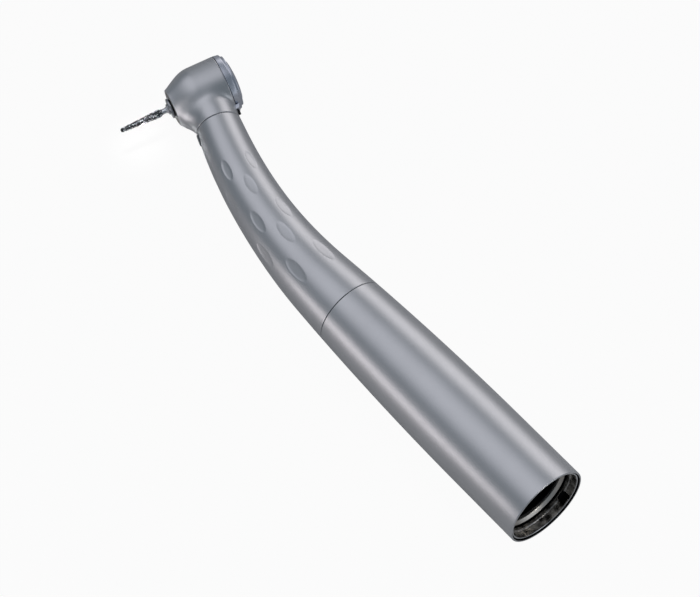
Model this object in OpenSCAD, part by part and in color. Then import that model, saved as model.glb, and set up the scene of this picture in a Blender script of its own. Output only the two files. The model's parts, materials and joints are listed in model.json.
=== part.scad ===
// Contra-angle air turbine handpiece, lying on its side.
// Origin: centre of the coupling socket's mouth. +X leaves the socket, -Y is the bur's side, +Z is up.
// The bend lies in the XY plane. A station is a distance along the centreline from the socket towards the head.

/* [Grip body] */
// Outside diameter of the rear sleeve
rear_dia = 16; // [15.6:0.1:17]
// Outside diameter where the two sleeves meet
mid_dia = 13.92; // [13.7:0.02:14.6]
// Outside diameter of the grip where it meets the head
neck_dia = 8.54; // [8.4:0.02:9.2]
// Station where the rear sleeve starts to taper
taper_start = 11.6; // [6:0.2:14]
// Station of the seam between the sleeves
mid_seam = 48.28; // [45:0.1:50]
// Station where the bend starts
bend_start = 55.8; // [54:0.1:60]
// Radius of the bend along the centreline
bend_radius = 107.8; // [95:0.1:125]
// Angle of the bend
bend_angle = 20; // [16:0.5:24]
// Straight length between the bend and the head's seam
neck_straight = 2.7; // [1.6:0.1:5]
// Wall of the rear sleeve where it meets the grip
sleeve_wall = 0.6; // [0.5:0.05:0.7]
// Wall of the grip sleeve
grip_wall = 0.75; // [0.7:0.01:0.78]
// Wall of the rear rim
rim_wall = 0.35; // [0.3:0.01:0.45]
// Half width of the dark groove at each seam
seam_chamfer = 0.12; // [0.05:0.01:0.2]

/* [Grip dimples] */
// Dimple rows round the grip
dimple_rows = 12; // [8:2:12]
// Distance between dimples along a row
dimple_pitch = 12.6; // [11:0.1:13]
// Station of the first dimple of the rows that hold three
dimple_start = 58.9; // [57:0.1:60]
// Depth of a dimple
dimple_depth = 0.2; // [0.1:0.01:0.3]

/* [Coupling socket] */
// Metal between the main bore, which takes the coupling's stem, and the outside
socket_wall = 2.4; // [2.2:0.05:2.8]
// Depth of the main bore
socket_depth = 18; // [14:0.5:20]
// Step from the rear sleeve's bore in to the entry that takes the coupling's collar
entry_inset = 0.45; // [0.4:0.05:0.5]
// Length of the entry's wide part
entry_length = 1.1; // [0.6:0.05:1.2]
// Length of the entry's narrow part
entry_step_length = 0.6; // [0.5:0.05:1.2]
// How far the entry sits inside the rear rim
rim_overhang = 0.7; // [0.6:0.05:1.4]
// Width of the detent groove
detent_groove = 0.35; // [0.3:0.05:0.8]
// Length of the polished detent ring
detent_length = 0.7; // [0.6:0.05:1.2]
// Width of the key window in the entry liner
key_width = 1.9; // [1.2:0.1:2.6]
// Angle of the key window round the socket
key_angle = 138; // [90:1:180]

/* [Head] */
// Outside diameter of the head's barrel
head_dia = 11.2; // [11.1:0.02:11.5]
// Diameter of the nose's face
nose_dia = 7.44; // [7.3:0.02:7.8]
// Distance from the neck's axis down to the nose's face
nose_reach = 6.75; // [6.7:0.01:7]
// Distance from the neck's axis up to the cap's seam
cap_seam = 3.94; // [3.9:0.01:4.05]
// Distance from the grip's seam to the head's axis
head_reach = 8.15; // [7.9:0.05:9]
// Angle between the neck and the bur
bur_angle = 95; // [92:0.5:100]
// Diameter of the impeller chamber
chamber_dia = 9.7; // [9.6:0.02:9.8]
// Diameter of the opening in the nose's face
nose_opening_dia = 3.5; // [3.3:0.05:3.7]

/* [Turbine] */
// Outside diameter of each bearing
bearing_dia = 6.35; // [6.3:0.01:6.4]
// Bore of each bearing, which is the spindle's diameter
spindle_dia = 3.175; // [3.15:0.005:3.2]
// Width of each bearing
bearing_width = 2.38; // [2.3:0.01:2.4]
// Balls in each bearing
ball_count = 8; // [6:1:8]
// Diameter of a ball
ball_dia = 1; // [0.95:0.01:1.02]
// Diameter over the impeller's blades
impeller_dia = 9; // [8.6:0.02:9.2]
// Height of the impeller's blades
impeller_height = 3.2; // [2.8:0.02:3.3]
// Blades on the impeller
blade_count = 9; // [7:1:11]
// Diameter of the flange at the spindle's nose
flange_dia = 3.8; // [3.6:0.05:4]
// Thickness of that flange
flange_thickness = 0.45; // [0.35:0.01:0.6]
// Gap between that flange and the nose's face
flange_gap = 0.3; // [0.2:0.01:0.45]

/* [Cap and button] */
// Diameter of the push button
button_dia = 9.9; // [9.8:0.02:10]
// How far the button moves
button_travel = 0.6; // [0.4:0.02:0.64]
// Height of the cap's ring above its seam
cap_height = 1.21; // [1.15:0.01:1.4]
// Height of the button's top above the cap's seam
button_height = 2.41; // [2.35:0.01:2.8]

/* [Bur] */
// Diameter of the bur's shank
shank_dia = 1.6; // [1.58:0.005:1.6]
// Diameter of the bur's neck
bur_neck_dia = 1.04; // [0.9:0.02:1.2]
// Largest diameter of the diamond layer
diamond_dia = 1.56; // [1.4:0.02:1.6]
// Diameter of the diamond layer near its tip
diamond_tip_dia = 0.86; // [0.7:0.02:1]
// Distance from the neck's axis to the bur's tip
bur_reach = 17.34; // [16:0.02:20]
// Length of the diamond layer
diamond_length = 8.5; // [7.4:0.1:8.7]

/* [Hidden] */

overrun = 0.5;
seat_gap = 0.02;
running_gap = 0.05;
fine = 96;
round_facets = 48;
small_facets = 24;
outline_facets = 32;

// Centreline
bend_length = bend_radius * bend_angle * PI / 180;
bend_end = bend_start + bend_length;
neck_seam = bend_end + neck_straight;
head_station = neck_seam + head_reach;

function turn_at(station) = bend_angle * min(max((station - bend_start) / bend_length, 0), 1);
function x_at(station) = -min(station, bend_start) - bend_radius * sin(turn_at(station))
    - max(station - bend_end, 0) * cos(bend_angle);
function y_at(station) = bend_radius * (1 - cos(turn_at(station)))
    + max(station - bend_end, 0) * sin(bend_angle);

// Grip profile
waist_share = 0.093;
function grip_radius(station, wall = 0) = let (along = (station - mid_seam) / (neck_seam - mid_seam))
    mid_dia / 2 - (mid_dia - neck_dia) / 2 * (along + waist_share * pow(sin(180 * along), 2)) - wall;
grip_rings = 18;
grip_sides = 48;
grip_lining_rings = 8;

// Dimples, as shares of the grip's diameter where they lie
dimple_length_share = 0.48;
dimple_width_share = 0.165;
// Levels of a dimple from its edge to its floor, as shares of its depth and of its outline
dimple_depth_shares = [0, 0.65, 1];
dimple_outline_shares = [1, 0.7, 0.3];
// Every second row holds one dimple more, and the others are shifted by this share of the pitch
short_row_shift_share = 0.58;
long_row_dimples = 3;
short_row_dimples = 2;

// Rear sleeve
mouth_depth = rim_overhang + entry_length + entry_step_length + detent_groove + detent_length;
taper_length = mid_seam - taper_start;
taper_drop = (rear_dia - mid_dia) / 2;
taper_steps = 8;
rim_round = 0.3;
rim_steps = 4;
seat_dia = rear_dia - 2 * rim_wall;
plate_thickness = 2;
plate_end = socket_depth + plate_thickness;
joint_inset = 1;
joint_dia = mid_dia - 2 * joint_inset;
joint_reach = 2.5;
joint_hold = 4.5;
joint_wall = 0.7;

// Socket
socket_dia = rear_dia - 2 * socket_wall;
entry_dia = seat_dia - 2 * entry_inset;
entry_wall = 0.2;
entry_step = 0.25;
detent_step = 0.6;
detent_wall = 0.8;
key_margin = 0.2;

// Tubes, each placed across the body: up, then towards the cap's side
passage_dia = 5.9;
drive_dia = 2;
drive_place = [1.6, 0.9];
fluid_dia = 0.9;
water_place = [-0.9, 2.2];
chip_place = [-2.3, -0.4];
light_dia = 1.6;
light_place = [0, -2];
tube_wall = 0.15;
wall_to_passage = 0.5;
tube_seat = 1.5;
tube_start = plate_end - tube_seat;
tube_end = head_station - chamber_dia / 2 - wall_to_passage;
tube_sides = 14;
rod_sides = 20;
rod_bend_rings = 8;
exhaust_dia = 2;
exhaust_place = [-0.9, 0.3];
plate_exhaust_places = [[-3.6, 1.8], [3.7, -2.2], [-2.6, -3]];

// Light window
window_dia = 2.3;
window_back = 1.4;
window_proud = 0.2;
window_bevel = 0.15;
window_station = neck_seam - window_back;

// Head
spigot_length = 5;
spigot_gap = 0.07;
spigot_dia = neck_dia - 2 * (grip_wall + spigot_gap);
nose_wall = 0.83;
nose_height = 4.7;
nose_curve_power = 1.35;
nose_steps = 10;
bearing_seat_dia = bearing_dia + 2 * seat_gap;
chamber_land = 0.25;
front_bearing_base = -nose_reach + nose_wall;
front_bearing_top = front_bearing_base + bearing_width;
chamber_floor = front_bearing_top + chamber_land;
rear_bearing_drop = 2.94;
rear_bearing_base = cap_seam - rear_bearing_drop;
rear_bearing_top = rear_bearing_base + bearing_width;
collar_share = 0.4;

// Lug and screw that lock the cap, on the neck close behind the cap
lug_gap = 0.1;
lug_length = 1;
lug_width = 1.7;
lug_height = 0.95;
lug_end_height = 0.45;
lug_root = 0.5;
lock_dia = 0.9;
lock_proud = 0.42;
lock_depth = 0.9;

// Spray ring
spray_margin = 0.5;
spray_outer = nose_dia - 2 * spray_margin;
spray_inner = nose_opening_dia + 2 * spray_margin;
spray_depth = 0.3;
spray_hole_dia = 0.4;
spray_holes = 4;

// O-rings
o_ring_thickness = 0.6;

// Cap
skirt_gap = 0.05;
skirt_lip = 0.15;
web_thickness = 0.44;
skirt_base = rear_bearing_base - skirt_lip;
preload_height = 0.22;
web_base = rear_bearing_top + preload_height;
web_top = web_base + web_thickness;
button_gap = 0.05;
cap_round = 0.4;
cap_round_steps = 4;
button_round = 0.9;
button_wall = 0.5;
button_drop = 0.45;
button_round_steps = 5;
pin_dia = 1.6;
pin_gap = 0.1;
web_hole_dia = 2.6;

// Bearings
pitch_dia = (bearing_dia + spindle_dia) / 2;
race_gap = 0.03;
shoulder = 0.33;
cage_thickness = 0.36;
cage_height = 1.5;

// Spindle and chuck
neck_land_dia = 2.6;
spindle_proud = 0.15;
spindle_top = rear_bearing_top + spindle_proud;
spindle_bore_dia = 2.3;
blade_clearance = 0.25;
boss_length = 0.35;
boss_dia = 2;
collet_rise = 0.1;
collet_base = -nose_reach + collet_rise;
collet_length = 4.3;
collet_slot = 0.2;
collet_slots = 3;
plunger_gap = 0.7;
shank_proud = 0.6;
shank_top = collet_base + collet_length + shank_proud;
plunger_base = shank_top + plunger_gap;
plunger_dia = 2.2;
plunger_foot = 0.8;
plunger_stem_dia = 1.1;
hub_dia = pitch_dia - 2 * (shoulder + seat_gap);
impeller_base = chamber_floor + blade_clearance;
blade_thickness = 0.42;
blade_curve = 2.6;
disc_thickness = 0.4;

// Springs
button_wire = 0.22;
button_spring_dia = 7;
chuck_wire = 0.16;
chuck_spring_dia = (spindle_bore_dia + shank_dia) / 2;
spring_turns = 2;
coil_sides = 6;
coil_steps = 14;

module at_station(station) {
    translate([x_at(station), y_at(station), 0])
        rotate([0, 0, -turn_at(station)])
            rotate([0, -90, 0])
                children();
}

module at_head() {
    translate([x_at(head_station), y_at(head_station), 0])
        rotate([0, 0, bur_angle - bend_angle])
            rotate([0, 90, 0])
                children();
}

module ring(outer, inner, height, facets = fine) {
    difference() {
        cylinder(h = height, d = outer, $fn = facets);
        translate([0, 0, -overrun])
            cylinder(h = height + 2 * overrun, d = inner, $fn = facets);
    }
}

// A solid that follows the centreline through rings at the given stations, at a place across the body
module sweep(stations, radii, sides, place = [0, 0]) {
    count = len(stations);
    points = [for (i = [0:count - 1], j = [0:sides - 1])
        let (turn = turn_at(stations[i]), up = place[0] + radii[i] * sin(360 * j / sides),
             out = place[1] + radii[i] * cos(360 * j / sides))
            [x_at(stations[i]) + out * sin(turn), y_at(stations[i]) + out * cos(turn), up]];
    walls = [for (i = [0:count - 2], j = [0:sides - 1])
        let (k = (j + 1) % sides, low = i * sides, high = low + sides)
            [low + j, low + k, high + k, high + j]];
    start_face = [for (j = [sides - 1:-1:0]) j];
    end_face = [for (j = [0:sides - 1]) (count - 1) * sides + j];
    polyhedron(points, concat(walls, [start_face, end_face]), convexity = 4);
}

module grip_solid(wall, rings, first, last) {
    stations = [for (i = [0:rings]) first + (last - first) * i / rings];
    sweep(stations, [for (station = stations) grip_radius(station, wall)], grip_sides);
}

// A rod that needs rings only at its ends and along the bend
module bent_rod(place, dia, first, last, sides) {
    bend = [for (i = [0:rod_bend_rings]) bend_start + bend_length * i / rod_bend_rings];
    stations = concat([first], [for (station = bend) if (station > first && station < last) station], [last]);
    sweep(stations, [for (station = stations) dia / 2], sides, place);
}

module bent_tube(place, dia, first, last) {
    difference() {
        bent_rod(place, dia, first, last, tube_sides);
        bent_rod(place, dia - 2 * tube_wall, first - overrun, last + overrun, tube_sides);
    }
}

// A coil spring from height 0 up, as one swept solid
module coil(dia, wire, height, turns) {
    steps = turns * coil_steps;
    rise = height - wire;
    points = [for (i = [0:steps], j = [0:coil_sides - 1])
        let (reach = (dia + wire * cos(360 * j / coil_sides)) / 2, turn = 360 * i / coil_steps)
            [reach * cos(turn), reach * sin(turn),
             wire / 2 + rise * i / steps + wire / 2 * sin(360 * j / coil_sides)]];
    sides = [for (i = [0:steps - 1], j = [0:coil_sides - 1])
        let (k = (j + 1) % coil_sides, low = i * coil_sides, high = low + coil_sides)
            [low + j, low + k, high + k, high + j]];
    start_face = [for (j = [coil_sides - 1:-1:0]) j];
    end_face = [for (j = [0:coil_sides - 1]) steps * coil_sides + j];
    polyhedron(points, concat(sides, [start_face, end_face]), convexity = 6);
}

module rear_sleeve() {
    taper = [for (i = [1:taper_steps - 1])
        let (share = i / taper_steps)
            [rear_dia / 2 - taper_drop * share * share, taper_start + taper_length * share]];
    rim = [for (i = [0:rim_steps])
        let (turn = 90 * i / rim_steps)
            [rear_dia / 2 - rim_round + rim_round * sin(turn), -mouth_depth + rim_round - rim_round * cos(turn)]];
    color("#a9adb4")
        at_station(0)
            rotate_extrude($fn = fine)
                polygon(concat(
                    [[seat_dia / 2, -mouth_depth]],
                    rim,
                    [[rear_dia / 2, taper_start]],
                    taper,
                    [[mid_dia / 2, mid_seam - seam_chamfer],
                     [mid_dia / 2 - seam_chamfer, mid_seam],
                     [joint_dia / 2 + seat_gap, mid_seam],
                     [joint_dia / 2 + seat_gap, mid_seam - joint_hold],
                     [mid_dia / 2 - sleeve_wall, mid_seam - joint_hold - sleeve_wall],
                     [seat_dia / 2, plate_end + plate_thickness]]));
}

// A lens outline: two arcs that meet in points along the grip
module lens(half_length, half_width) {
    arc = (half_length * half_length + half_width * half_width) / (2 * half_width);
    intersection() {
        translate([0, half_width - arc])
            circle(r = arc, $fn = outline_facets);
        translate([0, arc - half_width])
            circle(r = arc, $fn = outline_facets);
    }
}

module dimple(station, turn) {
    radius = grip_radius(station);
    half_width = radius * dimple_width_share;
    half_length = radius * dimple_length_share;
    slope = (grip_radius(station - half_length) - grip_radius(station + half_length)) / (2 * half_length);
    fall = half_width * half_width / (2 * radius);
    at_station(station)
        rotate([0, 0, turn])
            translate([radius, 0, 0])
                rotate([0, -atan(slope), 0])
                    hull()
                        for (i = [0:len(dimple_depth_shares) - 1])
                            translate([-fall - (dimple_depth - fall) * dimple_depth_shares[i], 0, 0])
                                rotate([0, 90, 0])
                                    linear_extrude(i == 0 ? fall + dimple_depth : seat_gap)
                                        lens(half_length * dimple_outline_shares[i],
                                            half_width * dimple_outline_shares[i]);
}

module front_sleeve() {
    color("#a9adb4")
        difference() {
            grip_solid(0, grip_rings, mid_seam, neck_seam);
            grip_solid(grip_wall, grip_lining_rings, mid_seam - seat_gap, neck_seam + seat_gap);
            for (row = [0:dimple_rows - 1]) {
                long_row = row % 2 == 1;
                shift = long_row ? 0 : dimple_pitch * short_row_shift_share;
                for (i = [0:(long_row ? long_row_dimples : short_row_dimples) - 1])
                    dimple(dimple_start + shift + dimple_pitch * i, 360 * row / dimple_rows);
            }
            window_hole();
        }
}

module window_hole() {
    at_station(window_station)
        rotate([90, 0, 0])
            cylinder(h = rear_dia, d = window_dia + 2 * seat_gap, $fn = round_facets);
}

module joint_ring() {
    color("#8c9096")
        at_station(mid_seam - joint_hold)
            ring(joint_dia, joint_dia - 2 * joint_wall, joint_hold + joint_reach);
}

module socket_body() {
    bore = socket_dia / 2;
    ring_seat = bore + detent_step + detent_wall + seat_gap;
    color("#5c5f63")
        at_station(0)
            rotate_extrude($fn = fine)
                polygon([[ring_seat, -detent_length],
                    [seat_dia / 2 - seat_gap, -detent_length],
                    [seat_dia / 2 - seat_gap, socket_depth],
                    [bore, socket_depth],
                    [bore, 0],
                    [ring_seat, 0]]);
}

module entry_liner() {
    lip = -mouth_depth + rim_overhang;
    step = lip + entry_length;
    end = step + entry_step_length;
    wide = entry_dia / 2;
    color("#8b8781")
        difference() {
            at_station(0)
                rotate_extrude($fn = fine)
                    polygon([[wide, lip],
                        [wide + entry_wall, lip],
                        [wide + entry_wall, step],
                        [seat_dia / 2 - seat_gap, step],
                        [seat_dia / 2 - seat_gap, end],
                        [wide - entry_step, end],
                        [wide - entry_step, step],
                        [wide, step]]);
            at_station(lip + key_margin)
                rotate([0, 0, key_angle])
                    translate([0, -key_width / 2, 0])
                        cube([seat_dia / 2, key_width, end - lip - 2 * key_margin]);
        }
}

module detent_ring() {
    inner = socket_dia + 2 * detent_step;
    color("#c9c7c4")
        at_station(-detent_length)
            ring(inner + 2 * detent_wall, inner, detent_length);
}

module plate_hole(place, dia) {
    translate([place[0], place[1], -overrun])
        cylinder(h = plate_thickness + 2 * overrun, d = dia, $fn = small_facets);
}

module tube_plate() {
    color("#6f7276")
        at_station(socket_depth)
            difference() {
                cylinder(h = plate_thickness, d = seat_dia - 2 * seat_gap, $fn = fine);
                plate_hole(drive_place, drive_dia + 2 * seat_gap);
                plate_hole(water_place, fluid_dia + 2 * seat_gap);
                plate_hole(chip_place, fluid_dia + 2 * seat_gap);
                plate_hole(light_place, light_dia + 2 * seat_gap);
                for (place = plate_exhaust_places)
                    plate_hole(place, exhaust_dia);
            }
}

module drive_air_tube() {
    color("#b9bcc0")
        bent_tube(drive_place, drive_dia, tube_start, tube_end);
}

module water_tube() {
    color("#b9bcc0")
        bent_tube(water_place, fluid_dia, tube_start, tube_end);
}

module chip_air_tube() {
    color("#b9bcc0")
        bent_tube(chip_place, fluid_dia, tube_start, tube_end);
}

module light_guide() {
    color("#dfe6ea")
        bent_rod(light_place, light_dia, tube_start, window_station + window_dia / 2, rod_sides);
}

module light_window() {
    outer = grip_radius(window_station) + window_proud;
    inner = light_dia / 2 - light_place[1] + seat_gap;
    color("#3b4046")
        at_station(window_station)
            rotate([90, 0, 0])
                rotate_extrude($fn = round_facets)
                    polygon([[0, inner],
                        [window_dia / 2, inner],
                        [window_dia / 2, outer - window_bevel],
                        [window_dia / 2 - window_bevel, outer],
                        [0, outer]]);
}

// Radius of the nose at a height above its face, drawn in by a margin
function nose_radius(height, margin = 0) = nose_dia / 2 - margin
    + (head_dia - nose_dia) / 2 * pow(sin(90 * min(height / nose_height, 1)), nose_curve_power);

// The head's barrel from a rise above the nose's face to a drop below the cap's seam
module barrel(rise = 0, margin = 0, drop = 0, facets = fine) {
    nose = [for (i = [0:nose_steps])
        let (height = rise + (nose_height - rise) * i / nose_steps)
            [nose_radius(height, margin), height - nose_reach]];
    rotate_extrude($fn = facets)
        polygon(concat([[0, rise - nose_reach]], nose,
            [[head_dia / 2 - margin, cap_seam - drop - seam_chamfer],
             [head_dia / 2 - margin - seam_chamfer, cap_seam - drop],
             [0, cap_seam - drop]]));
}

// Stages that blend the barrel into the neck: each draws the barrel in by a share of its diameter,
// starts at a share of the nose's height and ends at a share of the neck's reach
blend_margin_shares = [0.008, 0.02, 0.05, 0.09];
blend_rise_shares = [0.08, 0.11, 0.28, 0.5];
blend_reach_shares = [0.66, 0.76, 0.85, 0.94];
blend_drop = 0.15;
blend_inset = 0.03;

module neck_blend() {
    for (i = [0:len(blend_reach_shares) - 1])
        hull() {
            at_head()
                barrel(nose_height * blend_rise_shares[i], head_dia * blend_margin_shares[i], blend_drop,
                    outline_facets);
            at_station(head_station - head_reach * blend_reach_shares[i])
                cylinder(h = seat_gap, d = neck_dia - 2 * blend_inset, $fn = round_facets);
        }
}

// Height of the neck's upper side at a distance from the head's axis
function neck_top(reach) = neck_dia / 2 / cos(bur_angle - 90) - reach * tan(bur_angle - 90);
lug_near = head_dia / 2 + lug_gap;
lug_far = lug_near + lug_length;
lock_reach = lug_far + lock_dia / 2;

module lug() {
    rotate([90, 0, 90])
        translate([0, 0, -lug_width / 2])
            linear_extrude(lug_width)
                polygon([[-lug_near, neck_top(lug_near) - lug_root],
                    [-lug_near, neck_top(lug_near) + lug_height],
                    [-lug_far, neck_top(lug_far) + lug_end_height],
                    [-lug_far, neck_top(lug_far) - lug_root]]);
}

module lock_hole() {
    translate([0, -lock_reach, neck_top(lock_reach) - lock_depth])
        cylinder(h = lock_depth + overrun, d = lock_dia + 2 * seat_gap, $fn = small_facets);
}

module cap_lock() {
    color("#26282b")
        at_head()
            translate([0, -lock_reach, neck_top(lock_reach) - lock_depth])
                cylinder(h = lock_depth + lock_proud, d = lock_dia, $fn = small_facets);
}

module head_housing() {
    seat = bearing_seat_dia / 2;
    groove = (o_ring_thickness + seat_gap) / 2;
    middle = (front_bearing_base + front_bearing_top) / 2;
    color("#a4a8af")
        difference() {
            union() {
                at_head()
                    barrel();
                neck_blend();
                at_station(neck_seam)
                    cylinder(h = head_reach * collar_share, d = neck_dia, $fn = fine);
                at_head()
                    lug();
                at_station(neck_seam - spigot_length)
                    cylinder(h = spigot_length + seat_gap, d = spigot_dia, $fn = fine);
            }
            at_head()
                rotate_extrude($fn = fine)
                    polygon([[0, -nose_reach - overrun],
                        [nose_opening_dia / 2, -nose_reach - overrun],
                        [nose_opening_dia / 2, front_bearing_base - seat_gap],
                        [seat, front_bearing_base - seat_gap],
                        [seat, middle - groove],
                        [seat + o_ring_thickness, middle - groove],
                        [seat + o_ring_thickness, middle + groove],
                        [seat, middle + groove],
                        [seat, chamber_floor],
                        [chamber_dia / 2, chamber_floor],
                        [chamber_dia / 2, cap_seam + overrun],
                        [0, cap_seam + overrun]]);
            at_station(neck_seam - spigot_length - overrun)
                cylinder(h = tube_end - neck_seam + spigot_length + overrun, d = passage_dia, $fn = fine);
            window_hole();
            at_station(tube_end - overrun)
                head_port(drive_place, drive_dia - 2 * tube_wall);
            at_station(tube_end - overrun)
                head_port(exhaust_place, exhaust_dia);
            at_head()
                spray_recess();
            at_head()
                lock_hole();
        }
}

module head_port(place, dia) {
    translate([place[0], place[1], 0])
        cylinder(h = wall_to_passage + chamber_dia / 2, d = dia, $fn = small_facets);
}

module spray_recess() {
    translate([0, 0, -nose_reach - overrun])
        ring(spray_outer, spray_inner, spray_depth + overrun);
}

module spray_ring() {
    color("#9a9ea4")
        at_head()
            translate([0, 0, -nose_reach])
                difference() {
                    ring(spray_outer - 2 * seat_gap, spray_inner + 2 * seat_gap, spray_depth - seat_gap);
                    for (i = [0:spray_holes - 1])
                        rotate([0, 0, 360 * (i + 0.5) / spray_holes])
                            translate([(spray_outer + spray_inner) / 4, 0, -overrun])
                                cylinder(h = spray_depth + 2 * overrun, d = spray_hole_dia, $fn = small_facets);
                }
}

module head_cap() {
    seat = bearing_seat_dia / 2;
    groove = (o_ring_thickness + seat_gap) / 2;
    middle = (rear_bearing_base + rear_bearing_top) / 2;
    skirt = chamber_dia / 2 - skirt_gap;
    top = cap_seam + cap_height;
    edge = head_dia / 2;
    shoulder_arc = [for (i = [0:cap_round_steps])
        let (turn = 90 * i / cap_round_steps)
            [edge - cap_round + cap_round * cos(turn), top - cap_round + cap_round * sin(turn)]];
    color("#b9bdc6")
        at_head()
            rotate_extrude($fn = fine)
                polygon(concat(
                    [[seat, skirt_base], [skirt, skirt_base], [skirt, cap_seam],
                     [edge - seam_chamfer, cap_seam], [edge, cap_seam + seam_chamfer]],
                    shoulder_arc,
                    [[button_dia / 2 + button_gap, top],
                     [button_dia / 2 + button_gap, web_top],
                     [web_hole_dia / 2, web_top],
                     [web_hole_dia / 2, web_base],
                     [seat, web_base],
                     [seat, middle + groove],
                     [seat + o_ring_thickness, middle + groove],
                     [seat + o_ring_thickness, middle - groove],
                     [seat, middle - groove]]));
}

module push_button() {
    top = cap_seam + button_height;
    base = web_top + button_travel + button_gap;
    edge = button_dia / 2;
    shoulder_arc = [for (i = [0:button_round_steps])
        let (turn = 90 * i / button_round_steps)
            [edge - button_round + button_round * cos(turn),
             top - button_drop - button_round + button_round * sin(turn)]];
    dome = [for (i = [1:button_round_steps])
        let (share = 1 - i / button_round_steps)
            [(edge - button_round) * share, top - button_drop * share * share]];
    inside = top - button_drop - button_wall;
    color("#b4b8c0")
        at_head()
            rotate_extrude($fn = fine)
                polygon(concat(
                    [[edge - button_wall, base], [edge, base]],
                    shoulder_arc,
                    dome,
                    [[0, spindle_top + button_travel + pin_gap],
                     [pin_dia / 2, spindle_top + button_travel + pin_gap],
                     [pin_dia / 2, inside],
                     [edge - button_wall, inside]]));
}

module button_spring() {
    room = cap_seam + button_height - button_drop - button_wall - web_top;
    color("#c8cace")
        at_head()
            translate([0, 0, web_top + seat_gap])
                coil(button_spring_dia, button_wire, room - 2 * seat_gap, spring_turns);
}

module preload_ring() {
    color("#c8cace")
        at_head()
            translate([0, 0, rear_bearing_top + seat_gap])
                ring(bearing_dia, bearing_dia - 2 * shoulder, preload_height - 2 * seat_gap);
}

module o_ring(base) {
    at_head()
        translate([0, 0, base + bearing_width / 2])
            rotate_extrude($fn = fine)
                translate([(bearing_dia + o_ring_thickness) / 2 + seat_gap, 0])
                    circle(d = o_ring_thickness - seat_gap, $fn = small_facets);
}

module front_o_ring() {
    color("#1d1e20")
        o_ring(front_bearing_base);
}

module rear_o_ring() {
    color("#1d1e20")
        o_ring(rear_bearing_base);
}

module race(groove_dia) {
    translate([0, 0, bearing_width / 2])
        rotate_extrude($fn = fine)
            translate([pitch_dia / 2, 0])
                circle(d = groove_dia, $fn = small_facets);
}

module outer_ring(base) {
    at_head()
        translate([0, 0, base])
            difference() {
                ring(bearing_dia, pitch_dia + 2 * shoulder, bearing_width);
                race(ball_dia + 2 * race_gap);
            }
}

module inner_ring(base) {
    at_head()
        translate([0, 0, base])
            difference() {
                ring(pitch_dia - 2 * shoulder, spindle_dia + 2 * seat_gap, bearing_width);
                race(ball_dia + 2 * race_gap);
            }
}

module ball_places() {
    for (i = [0:ball_count - 1])
        rotate([0, 0, 360 * i / ball_count])
            translate([pitch_dia / 2, 0, bearing_width / 2])
                children();
}

module cage(base) {
    at_head()
        translate([0, 0, base])
            difference() {
                translate([0, 0, (bearing_width - cage_height) / 2])
                    ring(pitch_dia + cage_thickness, pitch_dia - cage_thickness, cage_height);
                ball_places()
                    translate([-cage_thickness, 0, 0])
                        rotate([0, 90, 0])
                            cylinder(h = 2 * cage_thickness, d = ball_dia + 2 * race_gap, $fn = small_facets);
            }
}

module balls(base) {
    at_head()
        translate([0, 0, base])
            ball_places()
                sphere(d = ball_dia, $fn = small_facets);
}

module front_outer_ring() {
    color("#c4c6ca")
        outer_ring(front_bearing_base);
}

module rear_outer_ring() {
    color("#c4c6ca")
        outer_ring(rear_bearing_base);
}

module front_inner_ring() {
    color("#c4c6ca")
        inner_ring(front_bearing_base);
}

module rear_inner_ring() {
    color("#c4c6ca")
        inner_ring(rear_bearing_base);
}

module front_cage() {
    color("#8a5a34")
        cage(front_bearing_base);
}

module rear_cage() {
    color("#8a5a34")
        cage(rear_bearing_base);
}

module front_balls() {
    color("#e2e2e2")
        balls(front_bearing_base);
}

module rear_balls() {
    color("#e2e2e2")
        balls(rear_bearing_base);
}

module spindle() {
    flange_top = -nose_reach - flange_gap;
    flange_base = flange_top - flange_thickness;
    hole = shank_dia / 2 + running_gap;
    wide_hole = spindle_bore_dia / 2;
    color("#9b9ea3")
        at_head()
            rotate_extrude($fn = fine)
                polygon([[hole, flange_base - boss_length],
                    [boss_dia / 2, flange_base - boss_length],
                    [neck_land_dia / 2, flange_base],
                    [flange_dia / 2, flange_base],
                    [flange_dia / 2, flange_top],
                    [neck_land_dia / 2, flange_top],
                    [neck_land_dia / 2, front_bearing_base - running_gap],
                    [spindle_dia / 2, front_bearing_base - running_gap],
                    [spindle_dia / 2, spindle_top],
                    [wide_hole, spindle_top],
                    [wide_hole, collet_base - seat_gap],
                    [hole, collet_base - seat_gap]]);
}

// One blade: a slice of a round shell that leans back from the hub to the tip
module blade() {
    reach = impeller_dia / 2;
    intersection() {
        translate([0, blade_curve])
            difference() {
                circle(r = blade_curve + blade_thickness / 2, $fn = round_facets);
                circle(r = blade_curve - blade_thickness / 2, $fn = round_facets);
            }
        translate([0, -blade_thickness])
            square([reach, reach]);
    }
}

module impeller() {
    hub_base = front_bearing_top + seat_gap;
    color("#b58b4a")
        at_head()
            translate([0, 0, impeller_base])
                difference() {
                    union() {
                        translate([0, 0, hub_base - impeller_base])
                            cylinder(h = rear_bearing_base - seat_gap - hub_base, d = hub_dia, $fn = fine);
                        cylinder(h = disc_thickness, d = impeller_dia - 2 * blade_thickness, $fn = fine);
                        linear_extrude(impeller_height)
                            intersection() {
                                circle(d = impeller_dia, $fn = fine);
                                for (i = [0:blade_count - 1])
                                    rotate([0, 0, 360 * i / blade_count])
                                        translate([hub_dia / 2 - blade_thickness, 0])
                                            blade();
                            }
                    }
                    translate([0, 0, hub_base - impeller_base - overrun])
                        cylinder(h = rear_bearing_base - hub_base + 2 * overrun, d = spindle_dia + 2 * seat_gap,
                            $fn = fine);
                }
}

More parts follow.
